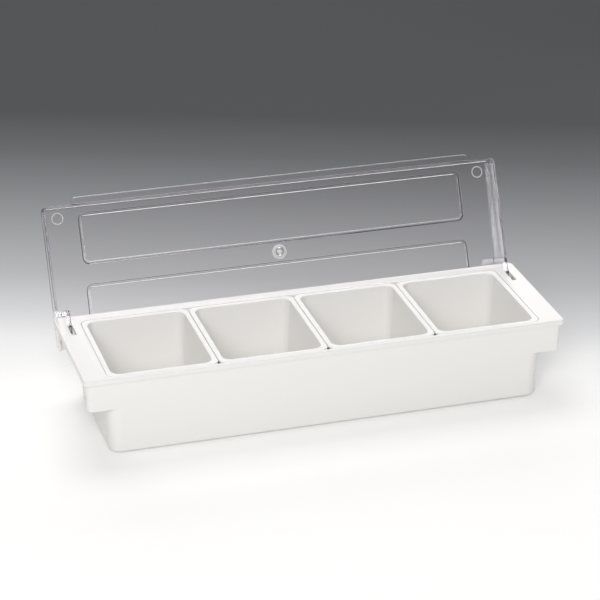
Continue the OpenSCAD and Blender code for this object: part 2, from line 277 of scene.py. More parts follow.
@dataclass(frozen=True)
class GroundSteel(Finish):
    """Steel rod with fine grinding lines round it."""

    name: str = "ground_steel"
    colour: Colour = (0.62, 0.62, 0.63)
    roughness: float = 0.28
    line_scale: float = 900.0
    line_stretch: Spot = (1.0, 0.05, 0.05)
    gloss_spread: float = 0.2

    def shade(self, nodes: NodeTree, output: bpy.types.Node) -> None:
        """Builds the shader of the finish.

        Args:
            nodes: The material's tree.
            output: Its output node.
        """
        place = nodes.add("ShaderNodeTexCoord").outputs["Object"]
        stretched = nodes.vector_math("MULTIPLY", place, self.line_stretch)
        lines = nodes.noise(stretched, self.line_scale, 2.0)
        gloss = nodes.around(lines, self.roughness, self.gloss_spread)
        metal = nodes.add("ShaderNodeBsdfPrincipled")
        metal.inputs["Base Color"].default_value = (*self.colour, 1)
        metal.inputs["Metallic"].default_value = 1.0
        nodes.join(gloss, metal.inputs["Roughness"])
        nodes.join(metal.outputs[0], output.inputs["Surface"])


@dataclass
class CadForm:
    """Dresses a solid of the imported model: its copy is welded, and its edges are eased."""

    name: str
    packed: bpy.types.Object
    node: str
    body: str
    slot: str
    finish: Finish
    edge_mm: float = 0.3
    edge_steps: int = 2
    smooth_deg: float = 32.0
    weld_mm: float = 0.02
    flat_deg: float = 0.8

    def build(self) -> bpy.types.Object:
        """Makes the piece.

        Returns:
            The piece, riding its body.
        """
        shape = bmesh.new()
        shape.from_mesh(self.packed.data)
        bmesh.ops.remove_doubles(shape, verts=shape.verts, dist=self.weld_mm * MM)
        flat = math.radians(self.flat_deg)
        bmesh.ops.dissolve_limit(shape, angle_limit=flat, verts=shape.verts, edges=shape.edges)
        mesh = bpy.data.meshes.new(self.name)
        shape.to_mesh(mesh)
        shape.free()
        piece = link(self.name, mesh)
        ease = piece.modifiers.new("eased_edges", "BEVEL")
        ease.width = self.edge_mm * MM
        ease.segments = self.edge_steps
        ease.limit_method = "ANGLE"
        ease.angle_limit = math.radians(self.smooth_deg)
        ease.use_clamp_overlap = True
        ease.harden_normals = True
        smooth(mesh, self.smooth_deg)
        mesh.materials.append(self.finish.material())
        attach(piece, self.body)
        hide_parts(self.node)
        return piece


def smooth(mesh: bpy.types.Mesh, sharp_deg: float) -> None:
    """Shades a mesh smoothly.

    Args:
        mesh: The mesh.
        sharp_deg: The angle from which an edge stays sharp.
    """
    for face in mesh.polygons:
        face.use_smooth = True
    mesh.set_sharp_from_angle(angle=math.radians(sharp_deg))


def link(name: str, mesh: bpy.types.Mesh) -> bpy.types.Object:
    """Puts a mesh in the scene as an object at the origin.

    Args:
        name: The object's name.
        mesh: Its mesh.

    Returns:
        The object.
    """
    piece = bpy.data.objects.new(name, mesh)
    bpy.context.scene.collection.objects.link(piece)
    return piece


def arc(centre: Point, radius: float, start_deg: float, end_deg: float, steps: int) -> list[Point]:
    """Points along a circular arc.

    Args:
        centre: Its centre.
        radius: Its radius.
        start_deg: The angle it starts at.
        end_deg: The angle it ends at.
        steps: How many chords it is cut into.

    Returns:
        One point more than there are steps.
    """
    angles = [math.radians(start_deg + (end_deg - start_deg) * i / steps) for i in range(steps + 1)]
    return [(centre[0] + radius * math.cos(a), centre[1] + radius * math.sin(a)) for a in angles]


def along(start: Point, end: Point, steps: int) -> list[Point]:
    """Evenly spaced points from start to end, both included."""
    run_x, run_y = end[0] - start[0], end[1] - start[1]
    return [(start[0] + run_x * i / steps, start[1] + run_y * i / steps) for i in range(steps + 1)]


@dataclass(frozen=True)
class RoundedBox:
    """Outline of a rectangle with round corners."""

    centre: Point
    half_x: float
    half_y: float
    corner_r: float
    corner_steps: int = 8

    def outline(self, inset: float) -> list[Point]:
        """The outline, moved inwards.

        Args:
            inset: How far it is moved in; a negative number moves it out.

        Returns:
            Its points, anticlockwise from the lower left corner.
        """
        run_x = self.half_x - self.corner_r
        run_y = self.half_y - self.corner_r
        radius = self.corner_r - inset
        corners = ((-1, -1, 180), (1, -1, 270), (1, 1, 0), (-1, 1, 90))
        points: list[Point] = []
        for side_x, side_y, start in corners:
            middle = (self.centre[0] + side_x * run_x, self.centre[1] + side_y * run_y)
            points += arc(middle, radius, start, start + 90, self.corner_steps)
        return points


class Coat(Enum):
    """The lid's two surfaces, with the places of their materials."""

    POLISHED = 0
    ROUGH = 1


class Shell:
    """Builds one closed mesh from loops of points."""

    def __init__(self, place: Matrix) -> None:
        """Starts an empty mesh.

        Args:
            place: Turns a point in millimetres about the piece's own origin into metres in the scene.
        """
        self.place = place
        self.mesh = bmesh.new()

    def loop(self, points: list[Spot]) -> list[bmesh.types.BMVert]:
        """Adds the points of a loop."""
        return [self.mesh.verts.new(self.place @ Vector(point)) for point in points]

    def flat_loop(self, outline: list[Point], height: float) -> list[bmesh.types.BMVert]:
        """Adds a loop that lies level at a height."""
        return self.loop([(x, y, height) for x, y in outline])

    def skin(self, loops: list[list[bmesh.types.BMVert]], coat: Coat = Coat.POLISHED) -> None:
        """Joins loops of equal length by bands of faces.

        Args:
            loops: The loops, in order.
            coat: The surface of the bands.
        """
        for low, high in zip(loops, loops[1:]):
            for i in range(len(low)):
                self.cap([low[i - 1], low[i], high[i], high[i - 1]], coat)

    def cap(self, loop: list[bmesh.types.BMVert], coat: Coat = Coat.POLISHED) -> None:
        """Closes a loop with one face."""
        self.mesh.faces.new(loop).material_index = coat.value

    def plate(self, loops: list[list[bmesh.types.BMVert]]) -> None:
        """Fills a flat face.

        Args:
            loops: Its outer loop and the loops inside it, which stay open.
        """
        edges = []
        for loop in loops:
            for first, second in zip(loop, loop[1:] + loop[:1]):
                edges.append(self.mesh.edges.get((first, second)) or self.mesh.edges.new((first, second)))
        bmesh.ops.triangle_fill(self.mesh, edges=edges, use_beauty=True, use_dissolve=False)

    def finish(self, name: str) -> bpy.types.Mesh:
        """Ends the mesh, with its faces outwards and its shading even.

        Args:
            name: The mesh's name.

        Returns:
            The mesh.
        """
        bmesh.ops.recalc_face_normals(self.mesh, faces=self.mesh.faces)
        made = bpy.data.meshes.new(name)
        self.mesh.to_mesh(made)
        self.mesh.free()
        smooth(made, SHARP_DEG)
        return made


@dataclass(frozen=True)
class EdgeStation:
    """One place round the lid's edge: its point, the way outwards, and what hangs there."""

    x: float
    y: float
    out: Point
    skirt: float
    lip: float = 0.0

    def inwards(self, inset: float, height: float) -> Spot:
        """The point that lies that far in from the edge, at a height."""
        return (self.x - self.out[0] * inset, self.y - self.out[1] * inset, height)


@dataclass
class ClearLid:
    """The clear lid: a flat panel with two raised fields, skirts on three sides and a grip lip.

    Its sizes are in millimetres about the hinge axis, with the closed lid level and its free edge towards -Y.
    """

    pivot_y: float = 56.3
    pivot_z: float = 73.3
    open_deg: float = 115.2
    half_x: float = 243.6
    reach: float = 130.4
    tail: float = 13.95
    panel_z: float = 27.582
    panel_t: float = 2.5
    corner_r: float = 5.0
    edge_r: float = 1.0
    skirt_t: float = 2.2
    skirt_front: float = 13.1
    skirt_rear: float = 15.5
    skirt_end: float = 25.35
    root_r: float = 1.0
    foot_r: float = 0.8
    end_r: float = 2.0
    lip_out: float = 7.2
    lip_t: float = 2.4
    lip_half_x: float = 214.0
    lip_corner_r: float = 5.0
    field_margin: float = 11.6
    field_end: float = 39.7
    field_space: float = 25.0
    field_rise: float = 1.6
    field_slope: float = 0.6
    field_skin: float = 2.4
    field_corner_r: float = 4.5
    field_ease_r: float = 0.5
    curve_steps: int = 12
    round_steps: int = 4
    nose_steps: int = 8
    fillet_steps: int = 3
    corner_steps: int = 8
    lip_corner_steps: int = 6
    skirt_end_steps: int = 5
    ring_steps: int = 32
    front_stops: tuple[float, ...] = (0.0, 70.0, 140.0)
    step_width: float = 0.05
    edge_clear: Point = (0.2, 0.1)
    gate_r: float = 6.5
    gate_groove: Point = (2.7, 5.0)
    gate_turns: tuple[Point, ...] = (
        (1.2, 0.0), (1.0, 0.15), (0.6, 0.15), (0.3, 0.05), (0.0, 0.2), (-0.3, 1.0), (-0.5, 1.2),
        (-0.8, 1.2), (-1.3, 0.5), (-1.8, 1.2), (-2.1, 1.2), (-2.6, 0.5), (-3.1, 1.2), (-3.5, 1.2),
        (-3.9, 0.9), (-4.3, 1.3), (-4.35, 2.4), (-4.7, 2.85), (-5.4, 3.0),
    )
    mark_r: float = 6.0
    mark_line: float = 0.7
    mark_h: float = 0.5
    mark_ease: float = 0.1
    mark_foot: float = 0.15
    mark_from_end: float = 16.0
    mark_from_front: float = 12.5
    finish: Finish = field(default_factory=ClearPlastic)
    rough_finish: Finish = field(default_factory=FrostedPlastic)

    def place(self) -> Matrix:
        """Opens the lid and puts it on its hinge.

        Returns:
            The matrix for that, from millimetres to metres.
        """
        turned = Matrix.Rotation(-math.radians(self.open_deg), 4, "X")
        hinge = Matrix.Translation((0.0, self.pivot_y * MM, self.pivot_z * MM))
        return hinge @ turned @ Matrix.Scale(MM, 4)

    def skirt_at(self, y: float) -> float:
        """Depth of the skirt at a distance along the side."""
        share = (y + self.reach) / (self.reach - self.skirt_end)
        return self.skirt_front + (self.skirt_rear - self.skirt_front) * share

    def lip_at(self, x: float) -> float:
        """How far the lip stands out at a place along the front."""
        past = max(0.0, abs(x) - (self.lip_half_x - self.lip_corner_r))
        return self.lip_out - self.lip_corner_r + math.sqrt(max(0.0, self.lip_corner_r**2 - past**2))

    def half_edge(self) -> list[EdgeStation]:
        """Places the stations of the right half.

        Returns:
            They run from the middle of the front along the right side to the end of the back corner.
        """
        front, down = -self.reach, (0.0, -1.0)
        stations = [EdgeStation(x, front, down, self.skirt_front, self.lip_out) for x in self.front_stops]
        round_start = self.lip_half_x - self.lip_corner_r
        for x, _ in arc((round_start, 0.0), self.lip_corner_r, 90, 0, self.lip_corner_steps):
            stations.append(EdgeStation(x, front, down, self.skirt_front, self.lip_at(x)))
        stations.append(EdgeStation(self.lip_half_x + self.step_width, front, down, self.skirt_front))
        corner_x = self.half_x - self.corner_r
        for x, y in arc((0.0, 0.0), 1.0, -90, 0, self.corner_steps):
            at = (corner_x + self.corner_r * x, front + self.corner_r + self.corner_r * y)
            stations.append(EdgeStation(at[0], at[1], (x, y), self.skirt_at(at[1])))
        side, right = self.half_x, (1.0, 0.0)
        round_y = -self.skirt_end - self.end_r
        for along_y, height in arc((round_y, 0.0), self.end_r, 90, 0, self.skirt_end_steps):
            depth = self.skirt_at(along_y) - self.end_r + height
            stations.append(EdgeStation(side, along_y, right, depth))
        stations.append(EdgeStation(side, -self.skirt_end + self.step_width, right, 0.0))
        for x, y in arc((0.0, 0.0), 1.0, 0, 90, self.corner_steps):
            at = (corner_x + self.corner_r * x, self.tail - self.corner_r + self.corner_r * y)
            stations.append(EdgeStation(at[0], at[1], (x, y), 0.0))
        return stations

    def edge(self) -> list[EdgeStation]:
        """Places the stations all round the lid.

        Returns:
            The right half's and their mirror images.
        """
        right = self.half_edge()
        left = [EdgeStation(-s.x, s.y, (-s.out[0], s.out[1]), s.skirt, s.lip) for s in reversed(right[1:])]
        return right + left

    def section(self, station: EdgeStation) -> list[Point]:
        """The section of the edge at a station.

        Args:
            station: The place.

        Returns:
            Points (inset, height) from the outer face round the edge to the inner face.
        """
        top, ease, root, foot = self.panel_t, self.edge_r, self.root_r, self.foot_r
        points = arc((ease, top - ease), ease, 90, 180, self.round_steps)
        inner = self.skirt_t + root
        if station.skirt <= 0:
            clear, rise = self.edge_clear
            points += along((0.0, top - ease - clear), (0.0, foot + rise), self.fillet_steps)
            points += arc((foot, foot), foot, 180, 270, self.nose_steps)
            return points + along((foot + clear, 0.0), (inner, 0.0), 2 * self.round_steps + 1)
        low = -station.skirt
        if station.lip > 0:
            nose = self.lip_t / 2
            points += arc((-foot, low + self.lip_t + foot), foot, 0, -90, self.fillet_steps)
            points += arc((nose - station.lip, low + nose), nose, 90, 270, self.nose_steps)
        else:
            points += along((0.0, low + self.lip_t + foot), (0.0, low + self.lip_t), self.fillet_steps)
            points += arc((foot, low + foot), foot, 180, 270, self.nose_steps)
        points += arc((self.skirt_t - foot, low + foot), foot, 270, 360, self.round_steps)
        return points + arc((inner, -root), root, 180, 90, self.round_steps)

    def ease_curve(self, inset: float, height: float) -> list[Point]:
        """The eased wall of a raised field.

        Args:
            inset: Where its foot is.
            height: The height of its foot.

        Returns:
            Points (inset, height) from foot to top.
        """
        turn = math.degrees(math.atan2(self.field_rise, self.field_slope))
        radius = self.field_ease_r
        reach = radius * math.tan(math.radians(turn / 2))
        foot = arc((inset - reach, height + radius), radius, -90, -90 + turn, self.curve_steps)
        crest = (inset + self.field_slope + reach, height + self.field_rise - radius)
        top = arc(crest, radius, 90 + turn, 90, self.curve_steps)
        return foot + top

    def field_outline(self, end: int) -> RoundedBox:
        """Outlines one raised field at its foot on the inside.

        Args:
            end: -1 for the field towards the front, 1 for the one towards the back.

        Returns:
            The outline.
        """
        half_y = (self.reach + self.tail - 2 * self.field_margin - self.field_space) / 4
        middle = (self.tail - self.reach) / 2 + end * (self.field_space / 2 + half_y)
        return RoundedBox((0.0, middle), self.half_x - self.field_end, half_y, self.field_corner_r)

    def add_fields(self, shell: Shell, inset: float, height: float) -> list[list[bmesh.types.BMVert]]:
        """Adds the walls and tops of both fields on one face of the panel.

        Args:
            shell: The mesh they go into.
            inset: How far the foot of the wall is moved in.
            height: The height of that face.

        Returns:
            The loops where they meet the face.
        """
        feet = []
        for end in (-1, 1):
            outline = self.field_outline(end)
            curve = self.ease_curve(inset, height)
            loops = [shell.flat_loop(outline.outline(x), self.panel_z + z) for x, z in curve]
            shell.skin(loops)
            shell.cap(loops[-1])
            feet.append(loops[0])
        return feet

    def add_turned(
        self, shell: Shell, centre: Point, base: float, profile: list[Point], middle: Coat
    ) -> list[bmesh.types.BMVert]:
        """Adds a round detail.

        Args:
            shell: The mesh it goes into.
            centre: Its centre.
            base: The height of the face it stands on.
            profile: Its (radius, height) from the face to the middle.
            middle: The surface of its middle.

        Returns:
            Its first loop.
        """
        loops = []
        for radius, height in profile:
            ring = arc(centre, radius, 0, 360, self.ring_steps)[:-1]
            loops.append(shell.flat_loop(ring, base + height))
        inner, outer = self.gate_groove
        for first, second, (radius, _) in zip(loops, loops[1:], profile):
            shell.skin([first, second], Coat.POLISHED if inner < radius < outer else Coat.ROUGH)
        shell.cap(loops[-1], middle)
        return loops[0]

    def gate_profile(self) -> list[Point]:
        """The moulding gate's round boss and its nub, as (radius, height) on the inner face."""
        return [(self.gate_r + out, -drop) for out, drop in self.gate_turns]

    def mark_profile(self) -> list[Point]:
        """Draws a plain ring.

        Returns:
            Its (radius, height) on the outer face.
        """
        ease, foot, top = self.mark_ease, self.mark_foot, self.mark_h
        side = [(foot, 0.0), (0.0, ease), (-ease, top - ease), (-ease - foot, top)]
        inner_r = self.mark_r - self.mark_line
        return [(self.mark_r + x, z) for x, z in side] + [(inner_r - x, z) for x, z in reversed(side)]

    def build(self) -> bpy.types.Object:
        """Makes the lid.

        Returns:
            The piece, riding the lid's body.
        """
        shell = Shell(self.place())
        stations = self.edge()
        sections = [self.section(station) for station in stations]
        loops = []
        for level in zip(*sections):
            pairs = zip(stations, level)
            loops.append(shell.loop([at.inwards(x, self.panel_z + z) for at, (x, z) in pairs]))
        shell.skin(loops)
        outer_feet = self.add_fields(shell, -self.field_skin, self.panel_t)
        inner_feet = self.add_fields(shell, 0.0, 0.0)
        middle = (0.0, (self.tail - self.reach) / 2)
        inner_feet.append(self.add_turned(shell, middle, self.panel_z, self.gate_profile(), Coat.ROUGH))
        top_z, mark = self.panel_z + self.panel_t, self.mark_profile()
        for side in (-1, 1):
            centre = (side * (self.half_x - self.mark_from_end), self.mark_from_front - self.reach)
            outer_feet.append(self.add_turned(shell, centre, top_z, mark, Coat.POLISHED))
        shell.plate([loops[0]] + outer_feet)
        shell.plate([loops[-1]] + inner_feet)
        piece = link("lid_panel_moulding", shell.finish("lid_panel_moulding"))
        even_shading(piece)
        piece.data.materials.append(self.finish.material())
        piece.data.materials.append(self.rough_finish.material())
        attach(piece, "lid")
        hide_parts("lid_panel")
        return piece


def even_shading(piece: bpy.types.Object) -> None:
    """Keeps flat faces flat beside their eased edges."""
    weigh = piece.modifiers.new("even_shading", "WEIGHTED_NORMAL")
    weigh.keep_sharp = True


@dataclass(frozen=True)
class Ring:
    """One level outline of an insert, given against the outline of its mouth, in millimetres."""

    outset: float
    radius: float
    height: float


@dataclass(frozen=True)
class InsertSizes:
    """Sizes of an insert in millimetres; heights are above the table."""

    mouth_half_x: float = 50.075
    mouth_half_y: float = 59.9
    mouth_r: float = 9.0
    wall: float = 1.6
    draft_deg: float = 2.0
    foot_z: float = 18.5
    foot_r: float = 6.0
    rim_z: float = 82.0
    rim_t: float = 2.5
    rim_out: float = 5.5
    rim_r: float = 8.5
    edge_r: float = 0.9
    under_r: float = 0.3
    flare: float = 0.9
    foot_steps: int = 6
    rim_steps: int = 4

    def wall_inset(self, height: float) -> float:
        """How far the drafted wall has come in at a height."""
        return max(0.0, self.rim_z - height) * math.tan(math.radians(self.draft_deg))

    def foot(self, floor_z: float, radius: float) -> list[Point]:
        """The round between a floor and the drafted wall, as (inset, height) from the floor upwards."""
        centre = (self.wall_inset(floor_z + radius) + radius, floor_z + radius)
        return arc(centre, radius, 270, 180, self.foot_steps)

    def rings(self) -> list[Ring]:
        """Lists the outlines of an insert.

        Returns:
            They run from the foot up the outside, over the rim and down the inside.
        """
        rings = []
        body_out, body_r, top = self.wall, self.mouth_r + self.wall, self.rim_z + self.rim_t
        for inset, height in self.foot(self.foot_z, self.foot_r):
            rings.append(Ring(body_out - inset, body_r - inset, height))
        rings.append(Ring(body_out, body_r, self.rim_z))
        rings.append(Ring(self.rim_out - self.under_r, self.rim_r - self.under_r, self.rim_z))
        rings.append(Ring(self.rim_out, self.rim_r, self.rim_z + self.under_r))
        for inset, height in arc((self.edge_r, top - self.edge_r), self.edge_r, 180, 90, self.rim_steps):
            rings.append(Ring(self.rim_out - inset, self.rim_r - inset, height))
        for outset, height in arc((self.flare, top - self.flare), self.flare, 90, 180, self.rim_steps):
            rings.append(Ring(outset, self.mouth_r + outset, height))
        inner_foot = self.foot(self.foot_z + self.wall, self.foot_r - self.wall)
        for inset, height in reversed(inner_foot):
            rings.append(Ring(-inset, self.mouth_r - inset, height))
        return rings


@dataclass
class InsertRow:
    """The row of lift-out inserts, drawn by one Geometry Nodes tree and taken one place at a time."""

    pitch: float = 111.55
    middle_y: float = -4.5
    corner_points: int = 10
    weld_mm: float = 0.002
    sizes: InsertSizes = field(default_factory=InsertSizes)
    finish: Finish = field(default_factory=MouldedWhite)
    places: tuple[str, ...] = ("far_left", "mid_left", "mid_right", "far_right")

    def ring_group(self) -> bpy.types.NodeTree:
        """Makes the group that draws the next outline from the last one.

        Returns:
            The group.
        """
        group = bpy.data.node_groups.new("next_outline", "GeometryNodeTree")
        ports = group.interface
        ports.new_socket("Mesh", in_out="INPUT", socket_type="NodeSocketGeometry")
        ports.new_socket("Last", in_out="INPUT", socket_type="NodeSocketBool")
        for name in ("Mouth", "Outset"):
            ports.new_socket(name, in_out="INPUT", socket_type="NodeSocketVector")
        for name in ("Radius", "Height"):
            ports.new_socket(name, in_out="INPUT", socket_type="NodeSocketFloat")
        ports.new_socket("Mesh", in_out="OUTPUT", socket_type="NodeSocketGeometry")
        ports.new_socket("Last", in_out="OUTPUT", socket_type="NodeSocketBool")
        nodes = NodeTree(group)
        given, made = nodes.add("NodeGroupInput"), nodes.add("NodeGroupOutput")
        extrude = nodes.add("GeometryNodeExtrudeMesh", mode="FACES")
        extrude.inputs["Individual"].default_value = False
        extrude.inputs["Offset Scale"].default_value = 0.0
        nodes.join(given.outputs["Mesh"], extrude.inputs["Mesh"])
        nodes.join(given.outputs["Last"], extrude.inputs["Selection"])
        moved, top = extrude.outputs["Mesh"], extrude.outputs["Top"]
        drawn = nodes.fed("GeometryNodeSetPosition", (moved, top, self.outline_point(nodes, given)))
        nodes.join(drawn, made.inputs["Mesh"])
        nodes.join(top, made.inputs["Last"])
        return group

    def outline_point(self, nodes: NodeTree, given: bpy.types.Node) -> bpy.types.NodeSocket:
        """Works out where a point of the outline lies.

        Args:
            nodes: The group's tree.
            given: Its input node.

        Returns:
            The place, from the corner that the point belongs to and its way outwards.
        """
        kind = "GeometryNodeInputNamedAttribute"
        corner = nodes.fed(kind, ("corner",), data_type="FLOAT_VECTOR")
        outwards = nodes.fed(kind, ("outwards",), data_type="FLOAT_VECTOR")
        radius = nodes.vector(given.outputs["Radius"], given.outputs["Radius"], 0.0)
        half = nodes.vector_math("ADD", given.outputs["Mouth"], given.outputs["Outset"])
        core = nodes.vector_math("SUBTRACT", half, radius)
        middle = nodes.vector_math("MULTIPLY", core, corner)
        reach = nodes.vector_math("MULTIPLY", radius, outwards)
        level = nodes.vector(0.0, 0.0, given.outputs["Height"])
        return nodes.vector_math("ADD", nodes.vector_math("ADD", middle, reach), level)

    def tree(self) -> tuple[bpy.types.NodeTree, dict[str, str]]:
        """Builds the tree.

        Returns:
            The tree, and the identifier of each of its inputs by name.
        """
        tree = bpy.data.node_groups.new("insert_row", "GeometryNodeTree")
        ports = tree.interface
        ports.new_socket("Geometry", in_out="OUTPUT", socket_type="NodeSocketGeometry")
        named = {}
        for name in ("Mouth Length", "Mouth Width", "Mouth Radius", "Pitch", "Row Middle"):
            socket = ports.new_socket(name, in_out="INPUT", socket_type="NodeSocketFloat")
            named[name] = socket.identifier
        named["Place"] = ports.new_socket("Place", in_out="INPUT", socket_type="NodeSocketInt").identifier
        nodes = NodeTree(tree)
        given, made = nodes.add("NodeGroupInput"), nodes.add("NodeGroupOutput")
        mouth, base = self.mouth_face(nodes, given)
        group = self.ring_group()
        mesh, last = base, True
        under = nodes.add("GeometryNodeFlipFaces")
        for number, ring in enumerate(self.sizes.rings()):
            step = nodes.add("GeometryNodeGroup", node_tree=group)
            nodes.feed(step.inputs["Mesh"], mesh)
            nodes.feed(step.inputs["Last"], last)
            nodes.feed(step.inputs["Mouth"], mouth)
            step.inputs["Outset"].default_value = (ring.outset * MM, ring.outset * MM, 0.0)
            step.inputs["Radius"].default_value = ring.radius * MM
            step.inputs["Height"].default_value = ring.height * MM
            mesh, last = step.outputs["Mesh"], step.outputs["Last"]
            if number == 0:
                mesh, last = self.only_face(nodes, mesh, last), True
                nodes.join(mesh, under.inputs[0])
        whole = nodes.add("GeometryNodeJoinGeometry")
        nodes.join(mesh, whole.inputs[0])
        nodes.join(under.outputs[0], whole.inputs[0])
        weld = nodes.add("GeometryNodeMergeByDistance")
        weld.inputs["Distance"].default_value = self.weld_mm * MM
        nodes.join(whole.outputs[0], weld.inputs[0])
        nodes.join(self.row(nodes, given, weld.outputs[0]), made.inputs[0])
        return tree, named

    def mouth_face(self, nodes: NodeTree, given: bpy.types.Node) -> tuple:
        """Draws the mouth's outline as a face and notes each point's corner and way outwards.

        Args:
            nodes: The tree.
            given: Its input node.

        Returns:
            The mouth's half sizes as a vector socket, and the mesh's socket.
        """
        mouth = nodes.vector(given.outputs["Mouth Length"], given.outputs["Mouth Width"], 0.0)
        frame = nodes.add("GeometryNodeCurvePrimitiveQuadrilateral", mode="RECTANGLE")
        nodes.join(nodes.math("MULTIPLY", given.outputs["Mouth Length"], 2.0), frame.inputs["Width"])
        nodes.join(nodes.math("MULTIPLY", given.outputs["Mouth Width"], 2.0), frame.inputs["Height"])
        fillet = nodes.add("GeometryNodeFilletCurve", mode="POLY")
        fillet.inputs["Count"].default_value = self.corner_points
        nodes.join(frame.outputs[0], fillet.inputs["Curve"])
        nodes.join(given.outputs["Mouth Radius"], fillet.inputs["Radius"])
        mesh = nodes.fed("GeometryNodeFillCurve", (fillet.outputs[0],), mode="NGONS")
        place = nodes.add("GeometryNodeInputPosition").outputs[0]
        side = nodes.vector_math("SIGN", place)
        radius = nodes.vector(given.outputs["Mouth Radius"], given.outputs["Mouth Radius"], 0.0)
        core = nodes.vector_math("MULTIPLY", nodes.vector_math("SUBTRACT", mouth, radius), side)
        outwards = nodes.vector_math("NORMALIZE", nodes.vector_math("SUBTRACT", place, core))
        for name, value in (("corner", side), ("outwards", outwards)):
            note = nodes.add("GeometryNodeStoreNamedAttribute", data_type="FLOAT_VECTOR", domain="POINT")
            note.inputs["Name"].default_value = name
            nodes.join(mesh, note.inputs["Geometry"])
            nodes.join(value, note.inputs["Value"])
            mesh = note.outputs[0]
        return mouth, mesh

    def only_face(
        self, nodes: NodeTree, mesh: bpy.types.NodeSocket, chosen: bpy.types.NodeSocket
    ) -> bpy.types.NodeSocket:
        """Keeps the chosen face alone."""
        return nodes.fed("GeometryNodeSeparateGeometry", (mesh, chosen), domain="FACE")

    def row(
        self, nodes: NodeTree, given: bpy.types.Node, insert: bpy.types.NodeSocket
    ) -> bpy.types.NodeSocket:
        """Sets the insert at its place in the row.

        Args:
            nodes: The tree.
            given: Its input node.
            insert: The mesh of the insert.

        Returns:
            The placed insert, with its material.
        """
        spots = nodes.add("GeometryNodeMeshLine", mode="OFFSET")
        spots.inputs["Count"].default_value = len(self.places)
        first = nodes.math("MULTIPLY", given.outputs["Pitch"], -(len(self.places) - 1) / 2)
        nodes.join(nodes.vector(first, given.outputs["Row Middle"], 0.0), spots.inputs["Start Location"])
        nodes.join(nodes.vector(given.outputs["Pitch"], 0.0, 0.0), spots.inputs["Offset"])
        wanted = nodes.add("FunctionNodeCompare", data_type="INT", operation="EQUAL")
        nodes.join(nodes.add("GeometryNodeInputIndex").outputs[0], wanted.inputs["A"])
        nodes.join(given.outputs["Place"], wanted.inputs["B"])
        placed = nodes.fed("GeometryNodeInstanceOnPoints", (spots.outputs[0], wanted.outputs[0], insert))
        coat = nodes.add("GeometryNodeSetMaterial")
        coat.inputs["Material"].default_value = self.finish.material()
        nodes.join(nodes.fed("GeometryNodeRealizeInstances", (placed,)), coat.inputs["Geometry"])
        return coat.outputs[0]

    def build(self) -> list[bpy.types.Object]:
        """Makes the inserts.

        Returns:
            The pieces from left to right, each riding its own body.
        """
        tree, named = self.tree()
        return [self.piece(tree, named, index, name) for index, name in enumerate(self.places)]

    def piece(
        self, tree: bpy.types.NodeTree, named: dict[str, str], index: int, place: str
    ) -> bpy.types.Object:
        """Makes the insert at one place.

        Args:
            tree: The row's tree.
            named: The tree's input identifiers by name.
            index: The place's number from the left.
            place: Its name.

        Returns:
            The piece.
        """
        name = f"insert_{place}_tray"
        drawn = link(name + "_drawn", bpy.data.meshes.new(name + "_drawn"))
        row = drawn.modifiers.new("insert_row", "NODES")
        row.node_group = tree
        row[named["Mouth Length"]] = self.sizes.mouth_half_x * MM
        row[named["Mouth Width"]] = self.sizes.mouth_half_y * MM
        row[named["Mouth Radius"]] = self.sizes.mouth_r * MM
        row[named["Pitch"]] = self.pitch * MM
        row[named["Row Middle"]] = self.middle_y * MM
        row[named["Place"]] = index
        mesh = plain_mesh(drawn, name)
        for note in ("corner", "outwards"):
            mesh.attributes.remove(mesh.attributes[note])
        smooth(mesh, SHARP_DEG)
        piece = link(name, mesh)
        even_shading(piece)
        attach(piece, f"insert_{place}")
        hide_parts(f"insert_{place}")
        return piece


def plain_mesh(drawn: bpy.types.Object, name: str) -> bpy.types.Mesh:
    """Turns what an object's modifiers make into a plain mesh, and removes the object.

    Args:
        drawn: The object with the modifiers.
        name: The new mesh's name.

    Returns:
        The mesh.
    """
    view = bpy.context.evaluated_depsgraph_get()
    view.update()
    mesh = bpy.data.meshes.new_from_object(drawn.evaluated_get(view), depsgraph=view)
    mesh.name = name
    bpy.data.objects.remove(drawn)
    return mesh


@dataclass
class Camera:
    """The camera where the photograph was taken from."""

    place_m: Spot = (-0.633855, -2.046434, 1.105721)
    turn_deg: float = 16.9726
    tilt_deg: float = 24.9666
    roll_deg: float = 0.2423
    focal_px: float = 2354.2455
    centre_px: Point = (300.5, 298.0)

    def build(self) -> bpy.types.Object:
        """Makes the camera and gives it to the scene.

        Returns:
            The camera object.
        """
        turn = math.radians(self.turn_deg)
        tilt = math.radians(self.tilt_deg)
        roll = math.radians(self.roll_deg)
        ahead = Vector((math.sin(turn) * math.cos(tilt), math.cos(turn) * math.cos(tilt), -math.sin(tilt)))
        right = Vector((math.cos(turn), -math.sin(turn), 0.0))
        up = right.cross(ahead)
        side = right * math.cos(roll) + up * math.sin(roll)
        top = up * math.cos(roll) - right * math.sin(roll)
        lens = bpy.data.cameras.new("camera")
        lens.sensor_fit = "HORIZONTAL"
        lens.sensor_width = SENSOR_MM
        lens.lens = self.focal_px * SENSOR_MM / IMAGE_SIZE
        lens.shift_x = (IMAGE_SIZE / 2 - self.centre_px[0]) / IMAGE_SIZE
        lens.shift_y = (self.centre_px[1] - IMAGE_SIZE / 2) / IMAGE_SIZE
        lens.clip_start = 0.05
        lens.clip_end = 50.0
        camera = bpy.data.objects.new("camera", lens)
        turned = Matrix((side, top, -ahead)).transposed().to_4x4()
        camera.matrix_world = Matrix.Translation(Vector(self.place_m)) @ turned
        bpy.context.scene.collection.objects.link(camera)
        bpy.context.scene.camera = camera
        return camera


